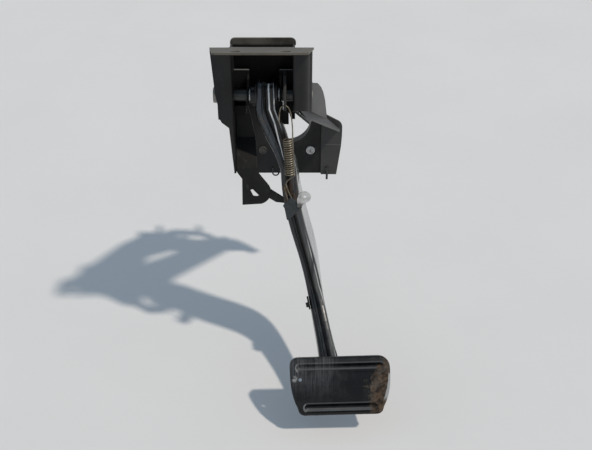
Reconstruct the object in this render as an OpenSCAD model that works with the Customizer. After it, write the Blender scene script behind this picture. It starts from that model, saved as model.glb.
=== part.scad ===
// Hanging brake pedal in its pressed steel support bracket.
// X runs across the car, +Y forward through the firewall, +Z up.
// The origin is the centre of the large opening, on the face that meets the firewall.

/* [Sheet] */
// Thickness of the bracket's pressed sheet
sheet = 2.5; // [2:0.1:3]

/* [Firewall plate] */
// Left edge of the firewall plate
plate_left = -70; // [-74:1:-66]
// Right edge of the firewall plate at its top
plate_right = 52; // [50:1:55]
// Right edge of the firewall plate behind the right wall's foot
plate_foot_right = 66; // [60:1:70]
// Bottom edge of the firewall plate
plate_bottom = -88; // [-92:1:-80]
// Top edge of the firewall plate
plate_top = 49; // [46:1:54]
// Depth of the lip along the plate's top edge
plate_lip = 13; // [8:1:18]
// Radius of the large opening
opening_r = 36; // [32:1:38]
// Depth of the collar drawn forward around the opening
collar_depth = 12; // [6:1:16]

/* [Firewall studs] */
// Stud spacing across the car
stud_span_x = 72; // [68:1:76]
// Stud spacing up the plate
stud_span_z = 84; // [82:1:86]
// Height of the stud pattern's centre
stud_mid_z = -5.5; // [-7:0.5:-4]
// Stud radius
stud_r = 4; // [3:0.5:4]
// Stud length forward of the plate
stud_length = 24; // [16:1:32]
// Radius of the serrated part of a stud, pressed into the plate
stud_press_r = 4.4; // [4.2:0.1:4.8]
// Radius of the stud's round head
stud_head_r = 6.6; // [6:0.1:7.5]

/* [Box at the top] */
// Middle of the box across the car
box_mid = -25.5; // [-27:0.5:-24]
// Inside half width between the two side walls
box_half = 36; // [35:0.5:38]
// Front plane of the box, toward the driver
front_y = -204; // [-210:1:-198]
// Width of each front flange beside the mouth
flange_w = 17.5; // [15:0.5:20]
// Height of the box at its front
box_top = 197; // [193:1:201]
// Lower end of the front flanges
flange_bottom = 121; // [116:1:126]
// Depth of the top flange that reaches toward the driver
top_depth = 48; // [42:1:54]
// Rise of the top flange toward the driver, in degrees
top_rise = 15.5; // [10:0.5:18]
// Radius of the two bolt holes in the top flange
top_hole_r = 5.75; // [5:0.25:6.5]
// Spacing of the two bolt holes in the top flange
top_hole_span = 57; // [50:1:64]

/* [Pivot] */
// Distance of the pivot from the firewall face
pivot_y = -184; // [-186:1:-182]
// Height of the pivot
pivot_z = 130; // [128:1:132]
// Radius of the pivot bolt
bolt_r = 5; // [4:0.5:6]
// Radius of the fixed sleeve that the hub turns on
sleeve_r = 8; // [7.5:0.25:9]
// Outer radius of the pedal's hub tube
hub_r = 12.5; // [12:0.25:14]
// Length of the hub tube
hub_length = 32; // [30:0.5:33]
// Gap between the two cheeks that clamp the fixed sleeve
cheek_gap = 37; // [36.5:0.1:37.5]
// Thickness of the flange on each bushing
bushing_flange = 1.2; // [0.8:0.1:1.4]

/* [Arm] */
// Thickness of the arm's pressed sheet
arm_sheet = 2.8; // [2.4:0.1:3.2]
// Radius of the arm's two front corners
arm_corner = 4.5; // [3:0.5:6]
// Radius of the push rod's pin hole through the arm
rod_hole_r = 6.25; // [5:0.25:7]
// Depth of the groove pressed along the arm
arm_groove = 2.2; // [1:0.1:2.6]

/* [Pad] */
// Width of the pad plate
pad_w = 132.6; // [128:0.2:136]
// Height of the pad plate
pad_h = 76.6; // [74:0.2:80]
// Thickness of the pad plate
pad_sheet = 2.2; // [1.8:0.1:2.6]
// Radius of the pad's crowned face
pad_crown_r = 150; // [120:5:240]
// Depth of the pad's turned rim
pad_rim = 8; // [6:0.5:10]
// Lean of the pad from upright, in degrees
pad_lean = 37.8; // [34:0.2:42]
// Roll of the pad in its own plane, in degrees
pad_roll = 1.6; // [0:0.1:2]

/* [Return spring] */
// Outer radius of the coil
coil_r = 6.6; // [6:0.1:7]
// Radius of the spring wire
wire_r = 0.95; // [0.8:0.05:1.05]
// Number of turns
coil_turns = 21; // [18:1:22]

/* [Hidden] */

wall_left = box_mid - box_half;
wall_right = box_mid + box_half;
hub_mid = box_mid + 1.2;
cheek_left = hub_mid - cheek_gap / 2;
cheek_right = hub_mid + cheek_gap / 2;
bolt_left = box_mid - 54.8;
bolt_right = box_mid + 60;
return_left = bolt_left;
return_right = wall_right + flange_w;
foot_right = 83;
wall_top = box_top - 1.8;
round_fn = 64;

// Plate in the plane across the car, from a drawing of x and z
module cross_plate(y_back, thick) {
  translate([0, y_back, 0])
    rotate([90, 0, 0])
      linear_extrude(thick)
        children();
}

// Plate in the fore and aft plane, from a drawing of y and z
module side_plate(x_left, thick) {
  translate([x_left, 0, 0])
    rotate([90, 0, 90])
      linear_extrude(thick)
        children();
}

// Cylinder along the X axis
module cross_rod(x_left, length, r, y = pivot_y, z = pivot_z) {
  translate([x_left, y, z])
    rotate([0, 90, 0])
      cylinder(h = length, r = r, $fn = round_fn);
}

// Tube along the X axis
module cross_tube(x_left, length, r_out, r_in, y = pivot_y, z = pivot_z) {
  difference() {
    cross_rod(x_left, length, r_out, y, z);
    cross_rod(x_left - 1, length + 2, r_in, y, z);
  }
}

// Points of an arc, from one angle to another
function arc(cx, cy, r, from, to, steps = 6) = [
  for (i = [0:steps])
    let (a = from + (to - from) * i / steps)
      [cx + r * cos(a), cy + r * sin(a)]
];

// Upper edge of both side walls at the box, below the ears of the rear cross plate
box_back_y = -161.5;
ear_z = 186;
box_top_edge = [
  [-145, 163], [box_back_y, ear_z - 2], [box_back_y - sheet, ear_z],
  [box_back_y - sheet - 3, ear_z + 4], [front_y + sheet, wall_top]
];

// Four stud places on the firewall plate
stud_places = [
  for (sx = [-1, 1], sz = [-1, 1])
    [sx * stud_span_x / 2, stud_mid_z + sz * stud_span_z / 2]
];

// Radii of the sheet's bends, outside and inside
bend_out = 4;
bend_in = bend_out - sheet;

// Square corner less its round, to cut a bend's outside: sx and sy point into the metal
module bend_outside(x, y, sx, sy, z0, z1) {
  translate([x, y, z0])
    linear_extrude(z1 - z0)
      difference() {
        translate([min(-sx, sx * bend_out), min(-sy, sy * bend_out)])
          square(bend_out + 1);
        translate([sx * bend_out, sy * bend_out])
          circle(r = bend_out, $fn = 48);
      }
}

// Metal that fills a bend's inside: sx and sy point into the open corner
module bend_inside(x, y, sx, sy, z0, z1) {
  translate([x, y, z0])
    linear_extrude(z1 - z0)
      difference() {
        translate([min(0, sx * bend_in), min(0, sy * bend_in)])
          square(bend_in);
        translate([sx * bend_in, sy * bend_in])
          circle(r = bend_in, $fn = 48);
      }
}

// Firewall plate

module firewall_plate() {
  color("#2c2d2e")
  difference() {
    union() {
      cross_plate(0, sheet)
        polygon(concat(
          arc(plate_right - 12, plate_top - 12, 12, 0, 90),
          arc(plate_left + 5, plate_top - 5, 5, 90, 180),
          arc(plate_left + 5, plate_bottom + 5, 5, 180, 270),
          arc(plate_foot_right - 5, plate_bottom + 5, 5, 270, 360),
          [[plate_foot_right, 0], [plate_right, 12]]
        ));
      // Lip along the top edge, between the side walls
      translate([wall_left, -plate_lip, plate_top - sheet])
        cube([plate_right - 12 - wall_left, plate_lip - sheet / 2, sheet]);
      rotate([-90, 0, 0])
        translate([0, 0, -sheet])
          cylinder(h = collar_depth + sheet, r = opening_r + sheet, $fn = 96);
    }
    rotate([-90, 0, 0])
      translate([0, 0, -sheet - 1])
        cylinder(h = collar_depth + sheet + 2, r = opening_r, $fn = 96);
    for (p = stud_places)
      translate([p[0], 1, p[1]])
        rotate([90, 0, 0])
          cylinder(h = sheet + 2, r = stud_press_r, $fn = round_fn);
  }
}

module firewall_studs() {
  color("#b9bab6")
  for (p = stud_places)
    translate([p[0], 0, p[1]])
      rotate([-90, 0, 0])
        union() {
          cylinder(h = stud_length, r = stud_r, $fn = round_fn);
          translate([0, 0, -sheet])
            cylinder(h = sheet, r = stud_press_r, $fn = round_fn);
          translate([0, 0, -sheet - 2.4])
            rotate_extrude($fn = round_fn)
              polygon([[0, 0], [3.2, 0], [3.2, 0.5], [4.4, 0.5], [5, 0], [6, 0],
                       [stud_head_r, 0.8], [stud_head_r, 2.4], [0, 2.4]]);
        }
}

// Side walls of the box

module left_wall_outline() {
  polygon(concat([[-sheet, plate_top], [-15, plate_top], [-57, 95]], box_top_edge, [
    [front_y + sheet, 30], [-176, 30], [-162, 52], [-150, 62],
    [-60, 6], [-12, -60], [-sheet, -84]
  ]));
}

module left_side_plate() {
  color("#3a3b3c")
  difference() {
    union() {
      side_plate(wall_left - sheet, sheet)
        left_wall_outline();
      // Front flange, narrowing to a strip beside the stop bracket
      cross_plate(front_y + sheet, sheet)
        polygon([
          [wall_left, wall_top], [-86, wall_top], [-82.5, 139], [return_left, 127],
          [return_left, 110], [-76, 102], [-67.8, 95], [-63.6, 30], [wall_left, 30]
        ]);
      // Outer return that carries the bolt's head
      side_plate(return_left, sheet)
        polygon([
          [front_y + sheet / 2, 182], [-188, 182], [-168, 150],
          [-168, 112], [-182, 106], [front_y + sheet / 2, 106]
        ]);
      // Foot against the firewall plate
      cross_plate(-sheet, sheet)
        polygon([[wall_left, 44], [plate_left, 40], [plate_left, -80], [wall_left, -84]]);
      bend_inside(wall_left - sheet, front_y + sheet, -1, 1, 96, 192);
    }
    bend_outside(wall_left, front_y, -1, 1, 29, box_top);
    cross_rod(return_left - 1, 30, bolt_r + 0.3);
  }
}

// Places where the right wall bends outward and where it ends, in plan
flare_start = [wall_right, -150];
flare_end = [56, -30];

// Plan of the right wall, which flares outward toward the firewall
module right_wall_plan(bottom, height) {
  translate([0, 0, bottom])
    linear_extrude(height)
      polygon([
        [wall_right, front_y + sheet], flare_start, flare_end, [flare_end[0], -2 * sheet],
        [flare_end[0] + sheet, -2 * sheet], flare_end + [sheet, -0.8],
        flare_start + [sheet, -0.9], [wall_right + sheet, front_y + sheet]
      ]);
}

// Sloping flange: a flat that falls to the right and toward the firewall
slope_x = 0.9;
slope_y = 0.342;
slope_corner = [wall_right, front_y + sheet, 120];

function slope_z(x, y) =
  slope_corner[2] - slope_x * (x - slope_corner[0]) - slope_y * (y - slope_corner[1]);

module sloping_flat() {
  translate(slope_corner)
    rotate([-asin(slope_y / norm([slope_x, slope_y, 1])), atan(slope_x), 0])
      translate([-60, -60, -sheet])
        cube([200, 320, sheet]);
}

module right_side_plate() {
  color("#3a3b3c")
  difference() {
    union() {
      intersection() {
        right_wall_plan(-10, 220);
        side_plate(0, 100)
          polygon(concat(
            [[-2 * sheet, 14], [flare_end[1], 22], [-39, 53], [-47, 69], [-56, 81], [-70, 93.5],
             [-88, 102], [-110, 122]],
            box_top_edge,
            [[front_y + sheet, 118], [flare_start[1], slope_z(wall_right, flare_start[1]) - 1],
             [flare_end[1], slope_z(flare_end[0], flare_end[1]) - 2.5], [-2 * sheet, 8]]
          ));
      }
      // Front flange beside the mouth
      cross_plate(front_y + sheet, sheet)
        polygon([
          [wall_right, wall_top], [return_right + sheet, wall_top],
          [return_right + sheet, flange_bottom - 3], [wall_right, flange_bottom - 3]
        ]);
      // Outer return that the bolt's end passes through
      side_plate(return_right, sheet)
        polygon([
          [front_y + sheet / 2, wall_top - 1], [-188, 190], [-172, 150],
          [-172, 112], [-190, 114], [front_y + sheet / 2, 118]
        ]);
      // Narrow outer band of the front flange
      cross_plate(front_y + 8, sheet)
        polygon([
          [return_right + 1, wall_top - 1], [return_right + 5.5, wall_top - 3],
          [return_right + 5.5, 115.5], [return_right + 1, 115.5]
        ]);
      // Sloping flange below the flared wall
      intersection() {
        sloping_flat();
        translate([0, 0, -20])
          linear_extrude(160)
            polygon([
              [wall_right, front_y + sheet], [wall_right + 20, front_y + sheet],
              flare_start + [24, 0], flare_end + [22, 0], [flare_end[0] + 22, -sheet],
              [flare_end[0], -sheet], flare_end, flare_start
            ]);
      }
      // Foot against the firewall
      cross_plate(-sheet, sheet)
        polygon(concat(
          [[flare_end[0] - 4, 14], [flare_end[0] - 4, -89], [76, -89]],
          [[foot_right - 1, -40], [foot_right, -22]],
          arc(foot_right - 12, -8, 12, 0, 60),
          [[flare_end[0] + 2, 13]]
        ));
      bend_inside(wall_right + sheet, front_y + sheet, 1, 1, 119, 192);
      bend_inside(return_right, front_y + sheet, -1, 1, 119, 190);
    }
    bend_outside(wall_right, front_y, 1, 1, 110, box_top);
    bend_outside(return_right + sheet, front_y, -1, 1, 110, box_top);
    cross_rod(wall_right - 1, 30, bolt_r + 0.3);
    // Open pocket where the sloping flange leaves the front
    translate([0, 0, 60])
      linear_extrude(70)
        polygon([[wall_right + 5, -194], [wall_right + 18, -186], [wall_right + 8, -166]]);
  }
}

// Top flange and rear cross plate

module top_flange() {
  rise = top_rise;
  color("#7d776c")
  union() {
    translate([0, front_y, box_top])
      rotate([-rise, 0, 0])
        difference() {
          translate([0, -top_depth, 0])
            linear_extrude(sheet)
              polygon(concat(
                [[box_mid - 60.5, top_depth], [wall_left - 3, top_depth], [wall_left, top_depth + 4.5],
                 [wall_right, top_depth + 4.5], [wall_right + 3, top_depth],
                 [box_mid + 60.5, top_depth]],
                arc(box_mid + 49, 5, 5, 0, -90),
                arc(box_mid - 49, 5, 5, -90, -180)
              ));
          for (side = [-1, 1])
            translate([box_mid + side * top_hole_span / 2, -36, -1])
              cylinder(h = sheet + 2, r = top_hole_r, $fn = round_fn);
        }
    // Header strip behind the front flanges
    cross_plate(front_y + 2 * sheet, sheet)
      polygon([
        [wall_left, box_top - 0.5], [wall_right, box_top - 0.5],
        [wall_right, box_top - 8], [wall_left, box_top - 8]
      ]);
  }
}

module rear_cross_plate() {
  ear = 1.2;
  color("#333435")
  cross_plate(box_back_y, sheet)
    polygon(concat(
      arc(wall_right + sheet + ear - 6, wall_top - 6, 6, 0, 90),
      arc(wall_left - sheet - ear + 6, wall_top - 6, 6, 90, 180),
      [[wall_left - sheet - ear, ear_z], [wall_left, ear_z], [wall_left, 134],
       [wall_left + 6, 128], [wall_right - 6, 128], [wall_right, 134],
       [wall_right, ear_z], [wall_right + sheet + ear, ear_z]]
    ));
}

// Supports that carry the pivot between the walls

// Cross plane of both supports, and their top
support_y = -169.5;
support_top = 157.8;

// Cheek outline around the bolt, in y and z
module cheek_outline() {
  polygon(concat(
    arc(pivot_y, pivot_z, 11, 90, 270, 12),
    [[support_y, 119], [support_y, 152], [-176, 152]]
  ));
}

module left_pivot_support() {
  tab_y = -186;
  tab_right = -47.3;
  color("#37383a")
  difference() {
    union() {
      cross_plate(support_y, sheet)
        polygon([
          [wall_left, support_top], [cheek_left, support_top], [cheek_left, 119],
          [tab_right, 116], [tab_right, 104.2], [wall_left, 104.2]
        ]);
      side_plate(cheek_left - sheet, sheet)
        cheek_outline();
      // Lower tab that faces the driver, on a shelf
      cross_plate(tab_y + sheet, sheet)
        polygon([[wall_left, 116.2], [tab_right, 116.2], [tab_right, 104.2], [wall_left, 104.2]]);
      translate([wall_left, tab_y, 104.2])
        cube([tab_right - wall_left, support_y - tab_y, sheet]);
    }
    cross_rod(cheek_left - sheet - 1, sheet + 2, bolt_r + 0.3);
  }
}

module right_pivot_support() {
  color("#37383a")
  difference() {
    union() {
      cross_plate(support_y, sheet)
        polygon([
          [cheek_right, support_top], [wall_right, support_top], [wall_right, 100],
          [1.5, 100], [1.5, 119], [cheek_right, 119]
        ]);
      side_plate(cheek_right, sheet)
        cheek_outline();
    }
    cross_rod(cheek_right - 1, sheet + 2, bolt_r + 0.3);
  }
}

// Tab that the return spring's upper hook hangs from
hanger_x = -1;
hanger_thick = 3.6;
hanger_hole = [-206.8, 125.8];

module spring_hanger() {
  color("#46474a")
  difference() {
    side_plate(hanger_x, hanger_thick)
      polygon(concat(
        [[support_y - sheet, 156], [-186, 156], [-200, 148]],
        arc(hanger_hole[0], hanger_hole[1], 5.6, 150, 340),
        [[-194, 140], [-182, 148], [support_y - sheet, 148]]
      ));
    cross_rod(hanger_x - 1, hanger_thick + 2, 2.6, hanger_hole[0], hanger_hole[1]);
  }
}

// Stop bracket: the hanging leg and its rounded tab

module stop_bracket() {
  color("#3b3c3b")
  difference() {
    intersection() {
      side_plate(-70, 60)
        polygon([
          [-161.5, 104], [-164, 104], [-164, 62], [-199, 36], [-201.5, 30], [-201.5, -19],
          [-198.7, -19], [-198.7, 29], [-197, 34], [-161.5, 60]
        ]);
      cross_plate(-150, 60)
        polygon(concat(
          [[wall_left, 104], [-46, 104], [-43, 90], [-38, 62], [-34, 30]],
          arc(-37, 1, 19, 38, -70, 10),
          [[-55.5, -18.5], [-54.6, 21], [wall_left, 32]]
        ));
    }
    cross_plate(-150, 60)
      polygon([[-45, 4], [-41.5, 5.5], [-33, -4.5], [-36, -6], [-41, -5.5]]);
  }
}

module stop_bumper() {
  color("#1b1b1c")
  translate([-27, -198.7, -7])
    rotate([-90, 0, 0])
      rotate_extrude($fn = 48)
        polygon([[0, 0], [6, 0], [6.6, 1], [6.6, 3], [5.2, 5], [2, 5.6], [0, 5.6]]);
}

// Small wire hook under the plate and pin at the foot

module wiring_hook() {
  color("#4b4c4e")
  translate([-17, -sheet - 1.1, -87])
    rotate([90, 0, 0])
      union() {
        rotate_extrude(angle = -200, $fn = 48)
          translate([4.6, 0])
            circle(r = 1.1, $fn = 16);
        translate([-4.6, 0, 0])
          rotate([-90, 0, 0])
            cylinder(h = 9, r = 1.1, $fn = 24);
      }
}

module foot_pin() {
  color("#5a5a5b")
  translate([61.5, -2 * sheet - 2, -96])
    union() {
      cylinder(h = 18, r = 1.7, $fn = 24);
      translate([0, 0, 18])
        rotate([-90, 0, 0])
          translate([0, 0, -1.7])
            cylinder(h = 3.7, r = 3.2, $fn = 32);
    }
}

// Pivot bolt, washer, nut, spacers and sleeve

module pivot_bolt() {
  head_h = 6.2;
  color("#b4b29f")
  union() {
    cross_rod(bolt_left, bolt_right - bolt_left, bolt_r - 0.1);
    translate([bolt_left - head_h, pivot_y, pivot_z])
      rotate([0, 90, 0])
        intersection() {
          cylinder(h = head_h, r = 10.6, $fn = 6);
          rotate_extrude($fn = 48)
            polygon([[0, 0], [9.2, 0], [10.8, 1.2], [10.8, head_h], [0, head_h]]);
        }
  }
}

module pivot_lock_washer() {
  color("#8d8c84")
  difference() {
    cross_tube(wall_right + sheet, 2, 8.6, bolt_r + 0.2);
    translate([wall_right + sheet - 1, pivot_y - 0.8, pivot_z])
      cube([4, 1.6, 12]);
  }
}

module pivot_nut() {
  nut_left = wall_right + sheet + 2;
  color("#9a988c")
  difference() {
    translate([nut_left, pivot_y, pivot_z])
      rotate([0, 90, 0])
        intersection() {
          cylinder(h = 7.5, r = 10, $fn = 6);
          rotate_extrude($fn = 48)
            polygon([[0, 0], [8.8, 0], [10.2, 1], [10.2, 6.5], [8.8, 7.5], [0, 7.5]]);
        }
    cross_rod(nut_left - 1, 9.5, bolt_r + 0.02);
  }
}

module left_spacer() {
  color("#7b7b78")
  cross_tube(wall_left, cheek_left - sheet - wall_left, 7.5, bolt_r + 0.4);
}

module right_spacer() {
  color("#7b7b78")
  cross_tube(cheek_right + sheet, wall_right - cheek_right - sheet, 7.5, bolt_r + 0.4);
}

module pivot_sleeve() {
  color("#8f9092")
  cross_tube(cheek_left, cheek_gap, sleeve_r, bolt_r + 0.4);
}

// Hub, bushings and pressed arm of the pedal

module pedal_hub() {
  color("#17181a")
  cross_tube(hub_mid - hub_length / 2, hub_length, hub_r, sleeve_r + 2);
}

// Flanged bushing whose flange lies at x and whose body reaches inward
module bushing(flange_x, inward) {
  translate([flange_x, pivot_y, pivot_z])
    rotate([0, 90 * inward, 0])
      rotate_extrude($fn = round_fn)
        polygon([
          [sleeve_r + 0.05, 0], [10.5, 0], [10.5, bushing_flange], [sleeve_r + 2, bushing_flange],
          [sleeve_r + 2, 13], [sleeve_r + 0.05, 13]
        ]);
}

module left_bushing() {
  color("#26282a")
  bushing(hub_mid - hub_length / 2 - bushing_flange, 1);
}

module right_bushing() {
  color("#26282a")
  bushing(hub_mid + hub_length / 2 + bushing_flange, -1);
}

// Stations of the arm: x, y and z of the front face, turn of the section, width, depth
arm_stations = [
  [-22.3, -190, 148, 0, 20, 12],
  [-22.3, -196, 144, 0, 20.5, 22],
  [-22, -198.6, 134, 0, 22.5, 29],
  [-21.4, -199.5, 118, 10, 27.5, 34],
  [-18.5, -199.5, 103, 20, 30, 43],
  [-13, -199.2, 90, 27, 28.5, 53],
  [-8.2, -198.9, 76, 30, 27.5, 60],
  [-3, -198.5, 61.5, 28, 24.5, 62],
  [1, -198.5, 47, 22, 22, 60],
  [4.4, -198.7, 32.7, 15, 20.8, 58],
  [5.5, -199.2, 18, 8, 20.8, 57.5],
  [6.8, -200.1, 3.6, 3, 21.5, 58],
  [10.3, -202, -24, 0, 21.5, 60],
  [18.5, -203.5, -62, 0, 21.5, 61.5],
  [28, -203, -100, 0, 21.2, 61],
  [34.3, -204, -128, 3, 21, 60],
  [38.7, -208, -148, 14, 21, 57],
  [42.3, -217, -163, 27, 21, 50],
  [46.3, -231, -176, 39, 21, 42],
  [51, -250, -189.5, 49, 21.5, 34],
  [55.8, -271, -202.5, 54, 23.5, 28],
  [60.5, -292, -214.5, 56, 28, 24.5],
  [65.5, -309, -223, 57, 31.5, 26],
  [69.8, -326, -230, 58, 33.5, 26],
  [72, -342, -236, 58, 34, 26]
];

// Station between two of the list, on a smooth curve through them and their neighbours
function between(list, i, f) = let (
  a = list[max(i - 1, 0)],
  b = list[i],
  c = list[i + 1],
  d = list[min(i + 2, len(list) - 1)]
) b + ((c - a) * f + (a * 2 - b * 5 + c * 4 - d) * f * f + (b * 3 - a - c * 3 + d) * f * f * f) / 2;

smooth_stations = [
  for (i = [0:len(arm_stations) - 2], f = [0, 0.5]) between(arm_stations, i, f),
  arm_stations[len(arm_stations) - 1]
];

// Front of the arm's section: a groove left of the middle and a low ridge right of it
groove_place = -0.13;
groove_wide = 0.12;
ridge_rise = 0.7;

function arm_front(w) = [
  [(groove_place - groove_wide) * w, 0], [(groove_place - groove_wide / 2) * w, arm_groove],
  [(groove_place + groove_wide / 2) * w, arm_groove], [(groove_place + groove_wide) * w, -ridge_rise / 2],
  [(groove_place + groove_wide + 0.07) * w, -ridge_rise], [0.2 * w, -ridge_rise], [0.27 * w, 0]
];

// Section of the arm: a channel open at the back, with round front corners.
// The inner points follow the outer ones back, so that the ends close in pairs.
function arm_section(w, d) = let (
  h = w / 2,
  r = arm_corner,
  t = arm_sheet,
  q = r - t,
  bend = [0, 22.5, 45, 67.5, 90],
  front = arm_front(w)
) concat(
  [[-h, d]],
  [for (a = bend) [-h + r - r * cos(a), r - r * sin(a)]],
  front,
  [for (i = [4:-1:0]) [h - r + r * cos(bend[i]), r - r * sin(bend[i])]],
  [[h, d], [h - t, d]],
  [for (a = bend) [h - r + q * cos(a), r - q * sin(a)]],
  [for (i = [len(front) - 1:-1:0]) front[i] + [0, t]],
  [for (i = [4:-1:0]) [-h + r - q * cos(bend[i]), r - q * sin(bend[i])]],
  [[-h + t, d]]
);

// A station's section set in space; depth runs back along the turned direction
function arm_ring(s) = let (section = arm_section(s[4], s[5])) [
  for (i = [len(section) - 1:-1:0])
    let (p = section[i])
      [s[0] + p[0], s[1] + p[1] * cos(s[3]), s[2] - p[1] * sin(s[3])]
];

// Solid skin over a list of closed rings of equal length; the ends close in pairs
module skin(rings) {
  n = len(rings[0]);
  m = len(rings);
  points = [for (ring = rings) each ring];
  sides = [
    for (i = [0:m - 2], j = [0:n - 1])
      let (k = (j + 1) % n)
        each [
          [i * n + j, (i + 1) * n + j, (i + 1) * n + k],
          [i * n + j, (i + 1) * n + k, i * n + k]
        ]
  ];
  ends = [
    for (j = [0:n / 2 - 2], side = [0, 1])
      let (b = side * (m - 1) * n, a1 = b + j, a2 = b + j + 1, a3 = b + n - 2 - j, a4 = b + n - 1 - j)
        each (side == 0
          ? [[a1, a2, a3], [a1, a3, a4]]
          : [[a3, a2, a1], [a4, a3, a1]])
  ];
  closed = [for (f = concat(sides, ends)) if (f[0] != f[1] && f[1] != f[2] && f[0] != f[2]) f];
  polyhedron(points = points, faces = closed, convexity = 8);
}

// The arm before its holes and its trimmed end
module arm_blank() {
  skin([for (s = smooth_stations) arm_ring(s)]);
}

module pedal_arm() {
  color("#131417")
  difference() {
    arm_blank();
    cross_rod(hub_mid - 30, 60, hub_r);
    // Push rod pin holes through both side walls
    cross_rod(-40, 80, rod_hole_r, -170, 2);
    // Trimmed to the back of the pad and of its grooves
    on_pad()
      union() {
        difference() {
          translate([-50, -45, -24])
            cube([100, 90, 60]);
          translate([-60, 0, -pad_crown_r])
            rotate([0, 90, 0])
              cylinder(h = 120, r = pad_crown_r - pad_sheet, $fn = 180);
        }
        for (row = groove_rows)
          groove_back(row);
      }
  }
}

// Puts a drawing of the pad in its place; its face looks along the drawing's z
module on_pad() {
  translate([72.6, -328.2, -219.7])
    rotate([90 - pad_lean, 0, 0])
      rotate([0, 0, pad_roll])
        children();
}

// Pad plate

// Outline of the pad in its own plane, drawn in by an inset: rounder on its upper right,
// with sides that curve in toward a narrower foot
function pad_outline(inset) = let (
  hw = pad_w / 2 - inset,
  hh = pad_h / 2 - inset,
  left = 10 - inset,
  right = 15 - inset,
  waist = 10,
  foot = hw - 18.5,
  toe = 9 - inset * 0.6
) concat(
  arc(hw - right, hh - right, right, 0, 90, 8),
  arc(-hw + left, hh - left, left, 90, 180, 8),
  [for (i = [1:7]) let (f = i / 7) [-hw + waist * pow(f, 3), hh - left - (2 * hh - left - toe) * f]],
  arc(-foot, -hh + toe, toe, 205, 270, 5),
  arc(foot, -hh + toe, toe, 270, 335, 5),
  [for (i = [7:-1:1]) let (f = i / 7) [hw - waist * pow(f, 3), hh - right - (2 * hh - right - toe) * f]]
);

// Crowned slab between two depths behind the pad's face
module crowned(front, back) {
  translate([0, 0, -pad_crown_r])
    rotate([0, 90, 0])
      translate([0, 0, -80])
        difference() {
          cylinder(h = 160, r = pad_crown_r - front, $fn = 180);
          translate([0, 0, -1])
            cylinder(h = 162, r = pad_crown_r - back, $fn = 180);
        }
}

module pad_prism(inset) {
  translate([0, 0, -30])
    linear_extrude(60)
      polygon(pad_outline(inset));
}

// Long pressed groove with round ends
module groove_prism(mid_z, length, half) {
  translate([0, mid_z, -30])
    linear_extrude(60)
      polygon(concat(
        arc(length / 2 - half, 0, half, -90, 90, 10),
        arc(-length / 2 + half, 0, half, 90, 270, 10)
      ));
}

groove_rows = [[pad_h / 2 - 11.1, 115], [-pad_h / 2 + 10, 96]];
groove_half = 5;
groove_depth = 2.4;

// Outside of a groove, behind the pad
module groove_back(row) {
  intersection() {
    crowned(pad_sheet / 2, groove_depth + pad_sheet);
    groove_prism(row[0], row[1], groove_half + pad_sheet * 0.7);
  }
}

module pad_plate() {
  color("#16171a")
  on_pad()
    difference() {
      union() {
        intersection() {
          crowned(0, pad_sheet);
          pad_prism(0);
        }
        intersection() {
          crowned(0.6, pad_rim);
          difference() {
            pad_prism(0);
            pad_prism(pad_sheet);
          }
        }
        for (row = groove_rows)
          groove_back(row);
      }
      for (row = groove_rows)
        intersection() {
          crowned(-4, groove_depth);
          groove_prism(row[0], row[1], groove_half);
        }
      translate([-pad_w / 2 + 13.7, 9.7, -20])
        cylinder(h = 40, r = 2.2, $fn = 24);
    }
}

// Fittings on the arm

// Angled plate across the front of the arm, on a blade that the spring's lower hook passes through
hook_eye = [-213.6, -10.6];

module clip_bracket() {
  color("#5d656c")
  union() {
    difference() {
      side_plate(6, 2.2)
        polygon([[-198, -5], [-199, -24], [-206, -30], [-223, -22], [-223, -6], [-218, -4]]);
      cross_rod(5, 5, 2.4, hook_eye[0], hook_eye[1]);
      arm_blank();
    }
    cross_plate(-222, 2)
      polygon([[-2.3, -5.5], [-0.5, -9], [2.3, -26], [3.2, -27], [4.4, -26.6], [21.3, -9], [21.8, -7],
               [9.6, 5], [7.2, 5.8]]);
  }
}

module stop_strap() {
  color("#2e3031")
  difference() {
    cross_plate(-190.6, 2.4)
      polygon([[-34, 1], [-27, 6], [-1.5, -13], [-0.3, -21], [-12, -19.5], [-33, -5]]);
    arm_blank();
  }
}

module switch_tab() {
  color("#c3c8cc")
  cross_plate(-224, 1.8)
    difference() {
      polygon(concat(
        [[15.5, 4.2], [16.1, -6.2], [19, -6.6]],
        arc(24.9, 8.7, 8.2, -65, 165, 14)
      ));
      translate([24.9, 8.7])
        circle(r = 2.6, $fn = 32);
    }
}

// Small ear bent out of a foot that is welded to the arm's left wall
lug_place = [30.75, -214, -160];
lug_lean = 11;
lug_yaw = 5.1;

module arm_lug() {
  color("#1a1b1e")
  translate(lug_place)
    rotate([0, -lug_lean, lug_yaw])
      union() {
        side_plate(-2.2, 2.2)
          polygon([[0, 0], [-5, -2], [-14, -11], [-12, -15], [-4, -12], [2, -4]]);
        translate([-5.2, -10.5, -11.5])
          cube([5.2, 2.2, 7.5]);
      }
}

// Return spring

// Coil ends, on its own axis
coil_top = [4.3, -209.5, 83];
coil_bottom = [6.7, -213, 34];
coil_mean = coil_r - wire_r;

// Unit vector
function unit(v) = v / norm(v);

coil_axis = unit(coil_bottom - coil_top);
coil_side = unit(cross([0, 1, 0], coil_axis));
coil_back = cross(coil_axis, coil_side);

// Point of the coil after a share of its turns
function coil_point(f) = let (a = 360 * coil_turns * f + 180)
  coil_top + (coil_bottom - coil_top) * f
  + coil_side * (coil_mean * cos(a)) + coil_back * (coil_mean * sin(a));

// Points on a smooth curve through four control points
function bezier(a, b, c, d, steps) = [
  for (i = [1:steps])
    let (t = i / steps, s = 1 - t)
      a * s * s * s + b * 3 * s * s * t + c * 3 * s * t * t + d * t * t * t
];

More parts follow.
